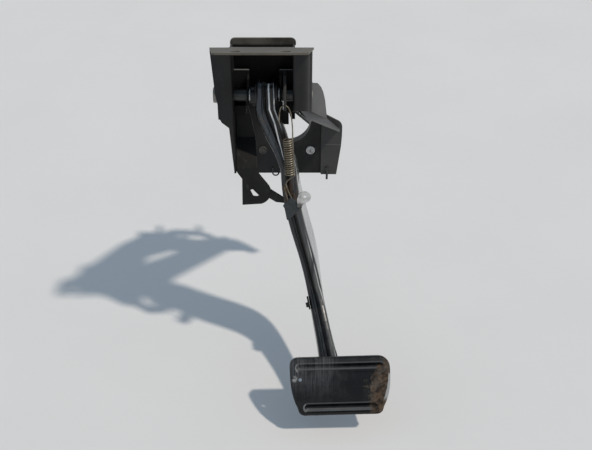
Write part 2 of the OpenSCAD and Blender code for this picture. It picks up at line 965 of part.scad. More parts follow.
steps_per_turn = 12;
upper_hook = concat(
  [[-6.2, -208, 103.5]],
  bezier([-6.2, -208, 103.5], [-6.2, -207.4, 117], [-5.4, -206.8, 126.4], [-0.8, -206.8, 126.7], 6),
  bezier([-0.8, -206.8, 126.7], [4.6, -206.8, 127], [6, -207, 123.6], [8, -207.8, 116], 5),
  bezier([8, -207.8, 116], [9.4, -208.4, 108], [10.3, -209, 98], coil_point(0) + [0, 0, 2.4], 4)
);
lower_hook = concat(
  bezier(coil_point(1), coil_point(1) - [0, 0, 5], [0.4, -213.6, 28], [1.6, -213.6, 20], 3),
  bezier([1.6, -213.6, 20], [4, -213.6, 8], [9.4, -213.6, 0], [9.6, -213.6, -5], 4),
  bezier([9.6, -213.6, -5], [9.8, -213.6, -12.4], [4.4, -213.6, -12.4], [4.4, -213.6, -6], 5),
  bezier([4.4, -213.6, -6], [3.4, -213.6, -1], [1.6, -213.6, 6], [-0.6, -213.6, 16], 3)
);
spring_path = concat(
  upper_hook,
  [for (i = [0:coil_turns * steps_per_turn]) coil_point(i / (coil_turns * steps_per_turn))],
  lower_hook
);

// Ring of a wire about a path point, square to the path
function wire_ring(path, i, r, sides) = let (
  a = path[max(i - 1, 0)],
  b = path[min(i + 1, len(path) - 1)],
  along = unit(b - a),
  u = unit(cross(along, [0.1, 1, 0.05])),
  v = cross(along, u)
) [
  for (k = [0:sides - 1])
    path[i] + r * (u * cos(360 * k / sides) + v * sin(360 * k / sides))
];

module return_spring() {
  color("#9a8358")
  skin([for (i = [0:len(spring_path) - 1]) wire_ring(spring_path, i, wire_r, 6)]);
}

firewall_plate();
firewall_studs();
left_side_plate();
right_side_plate();
top_flange();
rear_cross_plate();
left_pivot_support();
right_pivot_support();
stop_bracket();
stop_bumper();
spring_hanger();
wiring_hook();
foot_pin();
pivot_bolt();
pivot_lock_washer();
pivot_nut();
left_spacer();
right_spacer();
pivot_sleeve();
return_spring();
pedal_arm();
pedal_hub();
left_bushing();
right_bushing();
pad_plate();
clip_bracket();
stop_strap();
switch_tab();
arm_lug();
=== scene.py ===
"""Hanging brake pedal in its support bracket: looks, wear and small parts on its solids."""

import math

import bmesh
import bpy
from mathutils import Matrix, Vector


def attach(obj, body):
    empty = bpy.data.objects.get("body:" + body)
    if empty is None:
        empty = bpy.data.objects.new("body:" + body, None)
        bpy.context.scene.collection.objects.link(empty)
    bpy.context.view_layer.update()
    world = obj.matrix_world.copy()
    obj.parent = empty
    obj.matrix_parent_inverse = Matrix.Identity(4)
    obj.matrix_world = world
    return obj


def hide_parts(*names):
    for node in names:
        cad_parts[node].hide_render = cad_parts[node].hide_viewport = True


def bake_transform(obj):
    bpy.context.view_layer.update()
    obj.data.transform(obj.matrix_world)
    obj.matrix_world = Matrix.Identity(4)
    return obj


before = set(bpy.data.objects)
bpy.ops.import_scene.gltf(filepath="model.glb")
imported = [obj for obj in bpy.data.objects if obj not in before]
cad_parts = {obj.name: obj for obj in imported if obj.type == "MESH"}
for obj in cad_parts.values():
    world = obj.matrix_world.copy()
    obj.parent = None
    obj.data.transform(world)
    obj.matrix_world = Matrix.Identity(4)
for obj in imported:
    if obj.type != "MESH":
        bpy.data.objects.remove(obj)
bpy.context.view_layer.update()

bl_info = {
    "name": "Hanging Brake Pedal",
    "version": (1, 1, 0),
    "blender": (4, 5, 0),
    "location": "View3D > Sidebar > Brake Pedal",
    "description": "Finishes, wear and small parts of a hanging brake pedal and its bracket",
    "category": "Object",
}

MM = 0.001

# Where the camera stood, from the pad, the plate and their shadows on the ground
CAMERA_PLACE = (0.0142, -1.1316, 0.5821)
CAMERA_PITCH = math.radians(34.2)
CAMERA_LENS = 51.7
SENSOR_WIDTH = 36.0
# Toward the sun
SUN_WAY = Vector((0.482, -0.334, 0.81))
# Sky light near the horizon and overhead
HORIZON = (1.3, 1.34, 1.4)
OVERHEAD = (0.5, 0.66, 0.84)

# Pivot axis, which the hub and the bolt share, in millimetres
PIVOT = Vector((0, -184, 130))
# The four studs: distance to each side of x = 0, height of their middle, and distance above and below it
STUD_SIDE = 36
STUD_HEIGHT = -5.5
STUD_RISE = 42
# Height of the fold low on the right wall, in metres
RIGHT_FOLD = -0.037
# Points in each turn of the spring's wire and of a thread
POINTS_PER_TURN = 28


class Socket:
    """One output of a shader node, so that shader maths reads as an expression."""

    def __init__(self, graph, link):
        self.graph = graph
        self.link = link

    def _maths(self, operation, *values):
        return self.graph.node(
            "ShaderNodeMath", {"operation": operation}, {i: v for i, v in enumerate(values)}
        )

    def __add__(self, other):
        return self._maths("ADD", self, other)

    def __radd__(self, other):
        return self._maths("ADD", other, self)

    def __sub__(self, other):
        return self._maths("SUBTRACT", self, other)

    def __rsub__(self, other):
        return self._maths("SUBTRACT", other, self)

    def __mul__(self, other):
        return self._maths("MULTIPLY", self, other)

    def __rmul__(self, other):
        return self._maths("MULTIPLY", other, self)

    def __truediv__(self, other):
        return self._maths("DIVIDE", self, other)

    def top(self, other):
        """The larger of two values."""
        return self._maths("MAXIMUM", self, other)

    def low(self, other):
        """The smaller of two values."""
        return self._maths("MINIMUM", self, other)

    def size(self):
        """The value without its sign."""
        return self._maths("ABSOLUTE", self)

    def step(self, start, end):
        """0 before start and 1 after end, with a smooth rise between them."""
        return self.graph.node(
            "ShaderNodeMapRange",
            {"interpolation_type": "SMOOTHSTEP", "clamp": True},
            {"Value": self, "From Min": start, "From Max": end},
        )


class Graph:
    """A tree of shader nodes under construction."""

    def __init__(self, tree):
        self.tree = tree

    def node(self, kind, settings=None, values=None, output=0):
        """Adds a node of that type, with its settings, socket values and links, and gives one output."""
        made = self.tree.nodes.new(kind)
        for key, value in (settings or {}).items():
            setattr(made, key, value)
        for key, value in (values or {}).items():
            if isinstance(value, Socket):
                self.tree.links.new(value.link, made.inputs[key])
            else:
                made.inputs[key].default_value = value
        return Socket(self, made.outputs[output])

    def parts(self, vector):
        """The three numbers of a vector."""
        return [self.node("ShaderNodeSeparateXYZ", {}, {0: vector}, i) for i in range(3)]

    def mix(self, amount, first, second):
        """A colour between two others."""
        return self.node(
            "ShaderNodeMix",
            {"data_type": "RGBA", "clamp_factor": True},
            {0: amount, 6: self._rgba(first), 7: self._rgba(second)},
            2,
        )

    @staticmethod
    def _rgba(colour):
        return colour if isinstance(colour, Socket) else (*colour[:3], 1.0)


class Finish(Graph):
    """A material under construction."""

    def __init__(self, name):
        self.material = bpy.data.materials.new(name)
        self.material.use_nodes = True
        super().__init__(self.material.node_tree)
        self.tree.nodes.clear()
        self.out = self.tree.nodes.new("ShaderNodeOutputMaterial")
        self.place = self.node("ShaderNodeTexCoord", {}, {}, "Object")
        self.normal = self.node("ShaderNodeNewGeometry", {}, {}, "Normal")
        self.nx, self.ny, self.nz = self.parts(self.normal)
        self.x, self.y, self.z = self.parts(self.place)

    def ramp(self, value, start, end, low, high):
        """A number that runs evenly from low to high as the value goes from start to end."""
        return self.node(
            "ShaderNodeMapRange",
            {"clamp": True},
            {"Value": value, "From Min": start, "From Max": end, "To Min": low, "To Max": high},
        )

    def noise(self, scale, detail=4.0, rough=0.55, stretch=(1, 1, 1), shift=(0, 0, 0)):
        """Cloudy noise about 0.5; scale is in cycles per metre."""
        spot = self.node(
            "ShaderNodeMapping", {}, {"Vector": self.place, "Scale": stretch, "Location": shift}
        )
        return self.node(
            "ShaderNodeTexNoise",
            {"noise_dimensions": "3D"},
            {"Vector": spot, "Scale": scale, "Detail": detail, "Roughness": rough},
            "Fac",
        )

    def specks(self, scale, size):
        """Scattered round specks, 1 at their middles."""
        gap = self.node(
            "ShaderNodeTexVoronoi", {"feature": "F1"}, {"Vector": self.place, "Scale": scale}, "Distance"
        )
        return 1 - gap.step(size * 0.6, size)

    def edge(self, reach_mm):
        """1 on sharp outer and inner edges, within that reach."""
        round_normal = self.node("ShaderNodeBevel", {"samples": 6}, {"Radius": reach_mm * MM})
        same = self.node(
            "ShaderNodeVectorMath",
            {"operation": "DOT_PRODUCT"},
            {0: round_normal, 1: self.normal},
            "Value",
        )
        return (1 - same).step(0.01, 0.12)

    def near(self, centre_mm, reach_mm):
        """1 at a place on the object, falling to 0 at that distance."""
        gap = self.node(
            "ShaderNodeVectorMath",
            {"operation": "DISTANCE"},
            {0: self.place, 1: Vector(centre_mm) * MM},
            "Value",
        )
        return 1 - gap.step(reach_mm * 0.35 * MM, reach_mm * MM)

    def along(self, origin_mm, way):
        """How far a place is from an origin along a direction, in metres."""
        gap = self.node(
            "ShaderNodeVectorMath",
            {"operation": "SUBTRACT"},
            {0: self.place, 1: Vector(origin_mm) * MM},
        )
        return self.node(
            "ShaderNodeVectorMath", {"operation": "DOT_PRODUCT"}, {0: gap, 1: way}, "Value"
        )

    def length(self, across, up):
        """The length of a vector with these two parts."""
        gap = self.node("ShaderNodeCombineXYZ", {}, {0: across, 1: up, 2: 0.0})
        return self.node("ShaderNodeVectorMath", {"operation": "LENGTH"}, {0: gap}, "Value")

    def bump(self, height, strength, distance):
        """A normal that follows a height."""
        return self.node(
            "ShaderNodeBump", {}, {"Height": height, "Strength": strength, "Distance": distance}
        )

    def principled(self, sockets):
        """A Principled shader; the spaces in a socket's name are written as underscores."""
        return self.node(
            "ShaderNodeBsdfPrincipled",
            {},
            {key.replace("_", " "): value for key, value in sockets.items()},
        )

    def shader(self, dull=None, **sockets):
        """Ends the material in a Principled shader with these sockets, without sheen where dull is 1."""
        surface = self.principled(sockets)
        if dull is not None:
            flat = self.principled(
                {"Base_Color": sockets["Base_Color"], "Roughness": 0.8, "Specular_IOR_Level": 0.0}
            )
            surface = self.node("ShaderNodeMixShader", {}, {0: dull, 1: surface, 2: flat})
        self.tree.links.new(surface.link, self.out.inputs["Surface"])
        return self.material


RUST_DARK = (0.022, 0.013, 0.008)
RUST_LIGHT = (0.095, 0.052, 0.026)
DUST = (0.15, 0.143, 0.125)
# Grey of dust, also used for the painted light on the right wall
GREY_DUST_AND_LIGHT = (0.115, 0.118, 0.115)


def times(colour, factor):
    """A colour with each of its parts times a factor."""
    return tuple(part * factor for part in colour)


def bracket_black(
    name, base, dusty, rusty, scuffed, side_dust_and_light=0.0, top_from=None, sheen=0.24, lit_rim_z=None,
):
    """Satin black paint on pressed sheet, with dust on what faces up and rubbed, rusting edges.

    side_dust_and_light greys what stands out to the right, as dust and as painted light, less lower down,
    with a painted highlight on the fold low on the right wall; top_from is the height where the dusty top
    begins, and lit_rim_z is that of a top edge with a painted highlight.
    """
    f = Finish(name)
    cloud = f.noise(24, 6, 0.6)
    fine = f.noise(340, 5, 0.65)
    streak = f.noise(70, 4, 0.6, (1, 1, 0.12), (2, 5, 1))
    facing = f.nz.step(-0.1, 0.9)
    powder = facing * 0.8 + 0.12 * streak.step(0.4, 0.65)
    powder = powder * (cloud.step(0.3, 0.7) * 0.6 + fine.step(0.35, 0.7) * 0.4) * dusty
    if top_from:
        powder = (powder + 0.5 * cloud.step(0.15, 0.6)) * f.z.step(top_from - 0.004, top_from)
    rubbed = f.edge(1.3) * f.noise(110, 4, 0.6, (1, 1, 1), (7, 1, 3)).step(0.42, 0.6)
    chip = f.noise(85, 6, 0.72, (1, 1, 1.6), (3, 1, 7)).step(0.63, 0.68) * fine.step(0.4, 0.6)
    rust = (chip.top(rubbed * 0.6) * rusty).low(1)
    scuff = f.noise(130, 6, 0.75, (1, 1, 0.5), (9, 4, 2)).step(0.56, 0.68) * scuffed
    paint = f.mix(f.noise(16, 4).step(0.35, 0.65), base, times(base, 2.0))
    colour = f.mix(powder, paint, DUST)
    if side_dust_and_light:
        # Dust and painted light grey the outer faces on the right, less lower down
        outer = f.x.step(0.02, 0.045) * (1 - f.nz.step(0.15, 0.45)) * (0.5 + cloud)
        fade = 0.55 + 0.45 * f.z.step(0.0, 0.05)
        colour = f.mix((outer * fade * side_dust_and_light).low(1), colour, GREY_DUST_AND_LIGHT)
        # Painted highlight along the fold low on the right wall
        fold_highlight = (1 - (f.z - RIGHT_FOLD).size().step(0.0003, 0.0012)) * f.x.step(0.055, 0.06)
        colour = f.mix(fold_highlight * 0.5, colour, GREY_DUST_AND_LIGHT)
    colour = f.mix((rubbed * 0.35).top(scuff).low(1), colour, (0.1, 0.1, 0.098))
    if lit_rim_z:
        # Painted highlight along the sheet's top edge
        colour = f.mix(f.z.step(lit_rim_z - 0.0003, lit_rim_z), colour, (0.15, 0.15, 0.145))
    colour = f.mix(rust, colour, f.mix(fine, RUST_DARK, RUST_LIGHT))
    rough = 0.4 + powder * 0.4 + rust * 0.3 + fine * 0.14
    relief = f.bump(fine * 0.5 + cloud * 1.2 + rust * 0.5 - scuff * 0.3, 0.2, 0.0005)
    return f.shader(Base_Color=colour, Roughness=rough, Normal=relief, Specular_IOR_Level=sheen)


def arm_share(f):
    """Place across the arm's front: -0.5 at its left side, 0.5 at its right."""
    # Where each bend starts and ends going down, and how far it takes the arm's middle to the right
    bends = (
        (0.118, 0.0615, 0.0184), (0.0615, 0.0327, 0.0074), (0.0327, -0.014, 0.0046),
        (-0.014, -0.148, 0.0297), (-0.148, -0.223, 0.0268),
    )
    middle = f.ramp(f.z, 0.148, 0.118, -0.0223, -0.0214)
    for start, end, shift in bends:
        middle = middle + f.ramp(f.z, start, end, 0.0, shift)
    width = f.ramp(f.z, 0.095, 0.047, 0.0285, 0.0215)
    return (f.x - middle) / width


def arm_enamel(name):
    """Gloss black enamel with painted sheen on its lands and painted highlight lines on its ridges, rubbed
    on its edges and rusting where the spring works.
    """
    f = Finish(name)
    cloud = f.noise(32, 5, 0.6)
    fine = f.noise(460, 5, 0.65)
    drawn = f.noise(150, 4, 0.6, (1, 0.1, 0.07), (1, 8, 2))
    rubbed = f.edge(1.0) * f.noise(70, 4, 0.6).step(0.48, 0.62) * 0.5
    scab = cloud.step(0.66, 0.72) * fine.step(0.42, 0.6) * 0.7
    neck = f.near((2, -200, -8), 34) * f.noise(95, 5, 0.65).step(0.4, 0.56)
    worn = (neck * 0.75).top(scab).low(1)
    dust = f.nz.step(0.1, 0.95) * f.noise(60, 6, 0.7).step(0.4, 0.75) * 0.1
    u = arm_share(f)
    # Painted sheen makes the rounded lands beside the groove lighter; the groove between them takes less
    # sheen
    front = 1 - f.ny.step(-0.5, -0.2)
    high = f.z.step(0.035, 0.07)
    land = (1 - (u + 0.3).size().step(0.1, 0.19)) * (0.35 + 0.65 * high)
    right_land = (1 - (u - 0.24).size().step(0.1, 0.2)) * (1 - high) * (0.9 - 0.35 * f.z.step(-0.15, 0.0))
    sheen = (land.top(right_land)) * front * (0.55 + 0.9 * drawn.step(0.3, 0.7))
    valley = (1 - (u + 0.08).size().step(0.05, 0.13)) * front
    # Painted highlights: thin bright lines along the ridges
    ridge = u - f.ramp(f.z, 0.054, 0.1, -0.08, 0.12)
    long_line = (1 - ridge.size().step(0.012, 0.048)) * f.z.step(0.03, 0.06)
    short_line = (1 - (u - 0.33).size().step(0.01, 0.04)) * f.z.step(0.085, 0.11)
    low_line = (1 - (u - 0.34).size().step(0.015, 0.045)) * (1 - f.z.step(-0.1, -0.05)) * 0.5
    line = long_line.top(short_line * 0.8).top(low_line) * front * drawn.step(0.25, 0.5)
    colour = f.mix(dust, (0.0045, 0.0046, 0.005), DUST)
    colour = f.mix(sheen.low(1), colour, (0.042, 0.049, 0.057))
    # Painted sheen on the right land low on the arm's front
    low_sheen = right_land * front * (1 - f.z.step(-0.1, -0.02)) * drawn.step(0.3, 0.6)
    colour = f.mix(low_sheen.low(1), colour, (0.085, 0.085, 0.08))
    colour = f.mix(line.low(1), colour, (0.62, 0.64, 0.66))
    colour = f.mix(rubbed, colour, (0.12, 0.12, 0.118))
    colour = f.mix(worn, colour, f.mix(fine, RUST_DARK, RUST_LIGHT))
    rough = 0.16 + dust * 1.5 + worn * 0.45 + drawn.step(0.35, 0.75) * 0.14
    relief = f.bump(cloud * 1.4 + drawn * 0.3 + worn * 0.4, 0.14, 0.0005)
    return f.shader(
        valley * 0.6, Base_Color=colour, Roughness=rough, Normal=relief, Specular_IOR_Level=0.38,
        Coat_Weight=f.nx.step(0.6, 0.9), Coat_Roughness=0.24,
    )


def pad_enamel(name):
    """The pad's enamel: glossy, streaked by wiping up and down, with painted sheen at its upper left,
    painted shade and highlights in its grooves, and rusted through at its right end.
    """
    f = Finish(name)
    cloud = f.noise(60, 6, 0.66, (1, 1, 1), (4, 2, 1))
    patch = f.noise(150, 6, 0.7, (1, 1, 1), (1, 6, 3))
    fine = f.noise(700, 5, 0.65)
    wipe = f.noise(620, 3, 0.6, (1, 0.03, 0.03))
    turn = pad_matrix().to_3x3()
    u = f.along(PAD_PLACE, turn @ Vector((1, 0, 0)))
    v = f.along(PAD_PLACE, turn @ Vector((0, 1, 0)))
    # Each groove has painted shade on its upper flank, a painted highlight on its lower one and a painted
    # highlight round its left end
    shade = shine = None
    for row, length, gleam in PAD_GROOVES:
        straight = (length / 2 - GROOVE_HALF) * MM
        rise = v - row * MM
        off = f.length((u.size() - straight).top(0), rise)
        inside = 1 - off.step(0.0042, 0.0054)
        lip = off.step(0.0046, 0.0056) * (1 - off.step(0.006, 0.0072))
        drop = 0 - rise
        dark = inside * rise.step(0.0002, 0.0016)
        dark = dark.top(lip * drop.step(0.001, 0.003) * 0.8)
        bright = inside * drop.step(0.0004, 0.002) * (1 - drop.step(gleam - 0.001, gleam + 0.0004))
        bright = bright * (0.55 + 0.9 * cloud)
        bright = bright.top(lip * rise.step(0.003, 0.0046) * 0.6)
        end = (0 - u).step(straight + 0.002, straight + 0.004) * lip
        bright = bright.top(end * 2.2)
        shade = dark if shade is None else shade.top(dark)
        shine = bright if shine is None else shine.top(bright)
    # Rust covers the right end
    slant = f.ramp(f.z, -0.207, -0.196, 0.0, 0.016)
    reach = f.x - slant + (cloud - 0.5) * 0.05 + (patch - 0.5) * 0.014
    rusted = reach.step(0.1105, 0.1165)
    edge = f.edge(1.0)
    chip = edge * patch.step(0.5, 0.6) * f.x.step(0.08, 0.13)
    scab = (patch * 0.6 + cloud * 0.4).step(0.6, 0.64) * fine.step(0.4, 0.6) * 0.5
    worn = rusted.top(chip * 0.8).top(scab * 0.55).low(1)
    # The middle of the right rim is bare metal, painted light grey also as a painted highlight where the rim
    # faces the light
    waist = f.ramp(v, 0.0233, -0.0293, 0.0, 1.0)
    rim = u + waist * waist * waist * 0.01 + (patch - 0.5) * 0.003
    lean = f.ramp(v, -0.02, 0.017, 0.0, 0.0028)
    bare_lit_rim = (rim - lean).step(0.0604, 0.0614) * v.step(-0.022, -0.014) * (1 - v.step(0.013, 0.017))
    # Painted sheen at the upper left of the face, streaked by wipe marks
    wiped_sheen = f.near((30, -318, -203), 62) * (1 - f.x.step(0.05, 0.095)) * f.z.step(-0.235, -0.205)
    wiped_sheen = wiped_sheen * (0.35 + 0.9 * wipe.step(0.4, 0.62)) * cloud.step(0.25, 0.6)
    scar = f.near((12.2, -322.3, -212.6), 5.4) * patch.step(0.46, 0.56)
    dust = f.noise(52, 6, 0.7).step(0.42, 0.75) * 0.1 + f.nz.step(0.55, 0.8) * fine * 0.08
    rust = f.mix(patch.step(0.42, 0.62), (0.02, 0.015, 0.012), (0.082, 0.056, 0.036))
    rust = f.mix(cloud.step(0.46, 0.62) * fine.step(0.3, 0.7), rust, (0.085, 0.074, 0.064))
    colour = f.mix(dust, (0.003, 0.0032, 0.0038), (0.085, 0.09, 0.086))
    nicks = f.specks(130, 0.1) * cloud.step(0.5, 0.58) * 0.5
    # Real nicks and the grooves' painted highlights take the same light grey
    colour = f.mix(nicks.top(shine * 0.55).low(1), colour, (0.13, 0.138, 0.145))
    colour = f.mix((wiped_sheen * 0.5).low(1), colour, (0.085, 0.09, 0.095))
    # Rust shows less where the grooves have painted shade
    colour = f.mix(worn * (1 - shade * 0.6), colour, rust)
    colour = f.mix(bare_lit_rim.top(scar * 0.8).low(1), colour, (0.26, 0.272, 0.275))
    rough = 0.22 + dust * 1.3 + worn * 0.36 + wipe.step(0.3, 0.7) * 0.08 - bare_lit_rim * 0.1
    relief = f.bump(cloud * 0.9 + wipe * 0.16 + worn * (0.3 + patch * 0.8), 0.2, 0.0005)
    # Where the grooves have painted shade, and on rust, the enamel has no sheen
    return f.shader(
        shade.top(worn * 0.5), Base_Color=colour, Roughness=rough, Normal=relief,
        Specular_IOR_Level=0.26,
    )


def stud_zinc(name):
    """Dull zinc on the studs, with the ring and marks left by pressing, and painted shade on the left ones.
    """
    f = Finish(name)
    cloud = f.noise(260, 6, 0.62)
    fine = f.noise(1100, 4, 0.6)
    across = f.x.size() - STUD_SIDE * MM
    up = (f.z - STUD_HEIGHT * MM).size() - STUD_RISE * MM
    r = f.length(across, up)
    ring = 1 - (r - 0.0044).size().step(0.0003, 0.0009)
    marks = cloud.step(0.5, 0.6) * (1 - r.step(0.0028, 0.0036))
    # Painted shade darkens the studs on the left
    left_shade = (1 - f.x.step(-0.02, 0.0)) * (0.84 + 0.3 * cloud)
    dirt_and_shade = (ring * 0.5).top(marks * 0.7).top(left_shade).low(1) * (1 - f.y.step(-0.001, 0.001))
    colour = f.mix(dirt_and_shade, (0.56, 0.56, 0.55), (0.045, 0.044, 0.04))
    relief = f.bump(fine * 0.4 + cloud + ring * 0.8, 0.3, 0.0003)
    return f.shader(Base_Color=colour, Roughness=0.42 + dirt_and_shade * 0.3, Metallic=0.3, Normal=relief)


def plain_metal(name, base, dark, rough, stain, metal, grime_at=None):
    """Bare or plated steel, dulled and stained; grime_at is a dirty place and how far it reaches."""
    f = Finish(name)
    cloud = f.noise(120, 6, 0.62)
    fine = f.noise(1100, 4, 0.6)
    tarnish = (cloud.step(0.42, 0.66) * stain).low(1)
    if grime_at:
        tarnish = tarnish.top(f.near(*grime_at) * (0.5 + cloud)).low(1)
    specks = f.specks(520, 0.2) * cloud.step(0.45, 0.6) * stain
    colour = f.mix(tarnish.top(specks).low(1), base, dark)
    colour = f.mix(f.edge(0.5) * 0.35, colour, tuple(min(c * 1.5, 0.8) for c in base))
    value = rough + tarnish * 0.25 + fine * 0.1
    relief = f.bump(fine * 0.6 + cloud, 0.14, 0.0003)
    return f.shader(
        Base_Color=colour, Roughness=value, Metallic=metal * (1 - tarnish * 0.4), Normal=relief
    )


def dull_solid(name, base, shade, rough):
    """Nylon or rubber."""
    f = Finish(name)
    cloud = f.noise(120, 5, 0.6)
    fine = f.noise(1500, 3, 0.5)
    colour = f.mix(cloud.step(0.35, 0.7), base, shade)
    return f.shader(
        Base_Color=colour, Roughness=rough + fine * 0.12, Normal=f.bump(fine + cloud, 0.12, 0.0002)
    )


def make_finishes(paint):
    """Every finish by its key."""
    return {
        "bracket": bracket_black("bracket_black", paint, dusty=0.3, rusty=0.4, scuffed=0.08),
        "right": bracket_black(
            "right_wall_black", paint, dusty=0.09, rusty=0.3, scuffed=0.1, side_dust_and_light=0.62,
        ),
        # The supports inside the box take a darker copy of the paint and less sheen: painted shade
        "inside": bracket_black(
            "inner_black", times(paint, 0.45), dusty=0.08, rusty=0.2, scuffed=0.03, sheen=0.08,
            lit_rim_z=0.1576,
        ),
        # The cross plate inside the box takes a still darker copy of the paint and almost no sheen: painted
        # shade; dust shows only on its top
        "cross": bracket_black(
            "cross_plate_black", times(paint, 0.3), dusty=0.5, rusty=0.2, scuffed=0.03,
            top_from=0.189, sheen=0.05,
        ),
        "dusty": bracket_black(
            "dusty_black", (0.045, 0.041, 0.033), dusty=0.9, rusty=0.7, scuffed=0.4,
        ),
        "stop": bracket_black(
            "scuffed_black", times(paint, 0.8), dusty=0.07, rusty=0.3, scuffed=0.2, sheen=0.18,
        ),
        "stud": stud_zinc("stud_zinc"),
        "tab": plain_metal(
            "tab_zinc", (0.56, 0.56, 0.55), (0.1, 0.098, 0.09), rough=0.42, stain=0.5, metal=0.35,
            grime_at=((18, -225, -6), 10),
        ),
        "bolt": plain_metal(
            "dull_bolt", (0.3, 0.29, 0.26), (0.1, 0.09, 0.07), rough=0.45, stain=0.6, metal=0.25,
        ),
        "steel": plain_metal(
            "dark_steel", (0.055, 0.055, 0.056), (0.024, 0.022, 0.02), rough=0.4, stain=0.6, metal=0.6,
        ),
        "spacer": plain_metal(
            "spacer_steel", (0.06, 0.06, 0.058), (0.02, 0.019, 0.018), rough=0.3, stain=0.6, metal=0.8,
        ),
        "polished": plain_metal(
            "polished_steel", (0.85, 0.85, 0.85), (0.5, 0.5, 0.48), rough=0.2, stain=0.3, metal=0.3,
        ),
        "nylon": dull_solid("black_nylon", (0.02, 0.02, 0.021), (0.035, 0.034, 0.032), rough=0.42),
        "rubber": dull_solid("bumper_rubber", (0.012, 0.012, 0.013), (0.03, 0.03, 0.03), rough=0.7),
        "spring": plain_metal(
            "spring_wire", (0.24, 0.21, 0.155), (0.06, 0.04, 0.022), rough=0.3, stain=0.8, metal=0.75,
        ),
        "arm": arm_enamel("arm_enamel"),
        "weld": plain_metal(
            "painted_weld", (0.012, 0.012, 0.012), (0.04, 0.024, 0.014), rough=0.35, stain=0.5, metal=0.0,
        ),
        "pad": pad_enamel("pad_enamel"),
        "clip": plain_metal(
            "blue_grey_sheet", (0.024, 0.03, 0.033), (0.014, 0.015, 0.016), rough=0.5, stain=0.5,
            metal=0.1,
        ),
    }


FINISH_OF = {
    "bracket": ("firewall_plate", "left_side_plate", "spring_hanger", "stop_strap"),
    "right": ("right_side_plate",),
    "inside": ("left_pivot_support", "right_pivot_support"),
    "cross": ("rear_cross_plate",),
    "dusty": ("top_flange",),
    "stop": ("stop_bracket",),
    "stud": ("firewall_studs",),
    "tab": ("switch_tab",),
    "bolt": ("pivot_bolt", "pivot_lock_washer", "pivot_nut"),
    "steel": ("wiring_hook", "foot_pin"),
    "spacer": ("left_spacer", "right_spacer"),
    "polished": ("pivot_sleeve",),
    "nylon": ("left_bushing", "right_bushing"),
    "rubber": ("stop_bumper",),
    "spring": ("return_spring",),
    "arm": ("pedal_arm", "pedal_hub", "arm_lug"),
    "pad": ("pad_plate",),
    "clip": ("clip_bracket",),
}

# Width of the rounded edge put on each sheet or turned part, in millimetres
EDGE_OF = {
    "bracket": 0.5, "right": 0.5, "inside": 0.5, "cross": 0.5, "dusty": 0.6, "stop": 0.5,
    "stud": 0.25, "tab": 0.25, "bolt": 0.3, "steel": 0.25, "spacer": 0.25, "polished": 0.3,
    "nylon": 0.3, "rubber": 0.5, "arm": 0.5, "clip": 0.35,
}
# Corners of a solid closer than this are one corner, in metres
SAME_CORNER = 0.00002


def smooth_normals(obj):
    """Shades large faces flat and small ones round."""
    normals = obj.modifiers.new("normals", "WEIGHTED_NORMAL")
    normals.keep_sharp = True


def soften(obj, width_mm):
    """Welds the mesh's split corners, and rounds its sharp edges."""
    weld = obj.modifiers.new("weld", "WELD")
    weld.merge_threshold = SAME_CORNER
    bevel = obj.modifiers.new("edges", "BEVEL")
    bevel.width = width_mm * MM
    bevel.segments = 2
    bevel.limit_method = "ANGLE"
    bevel.angle_limit = math.radians(32)
    smooth_normals(obj)


def smooth_pressing(obj):
    """Shades the pressed arm's many small faces as one round surface, with sharp sheet edges."""
    weld = obj.modifiers.new("weld", "WELD")
    weld.merge_threshold = SAME_CORNER
    split = obj.modifiers.new("sheet edges", "EDGE_SPLIT")
    split.split_angle = math.radians(66)
    smooth_normals(obj)


class FinishSizes(bpy.types.PropertyGroup):
    """Colours of the pedal's finishes."""

    paint: bpy.props.FloatVectorProperty(
        name="Bracket Paint", description="Satin black on the bracket", subtype="COLOR",
        default=(0.0068, 0.007, 0.0073),
    )


class PEDAL_OT_finishes(bpy.types.Operator):
    """Gives every solid its finish and rounded edges"""

    bl_idname = "pedal.finishes"
    bl_label = "Finishes"

    def execute(self, context):
        made = make_finishes(tuple(context.scene.pedal_finish.paint))
        for key, names in FINISH_OF.items():
            for name in names:
                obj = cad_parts[name]
                obj.data.materials.clear()
                obj.data.materials.append(made[key])
                if name == "pedal_arm":
                    smooth_pressing(obj)
                elif key in EDGE_OF:
                    soften(obj, EDGE_OF[key])
        return {"FINISHED"}


def new_piece(name, verts_mm, faces, finish, body):
    """A mesh piece from points in millimetres, which rides on a body."""
    mesh = bpy.data.meshes.new(name)
    mesh.from_pydata([Vector(v) * MM for v in verts_mm], [], faces)
    mesh.polygons.foreach_set("use_smooth", [True] * len(mesh.polygons))
    mesh.materials.append(bpy.data.materials[finish])
    obj = bpy.data.objects.new(name, mesh)
    bpy.context.collection.objects.link(obj)
    if body:
        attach(obj, body)
    return obj


def bezier(a, b, c, d, steps):
    """Points on a smooth curve through four control points, without the first."""
    a, b, c, d = Vector(a), Vector(b), Vector(c), Vector(d)
    points = []
    for i in range(1, steps + 1):
        t = i / steps
        s = 1 - t
        points.append(a * s**3 + b * 3 * s * s * t + c * 3 * s * t * t + d * t**3)
    return points


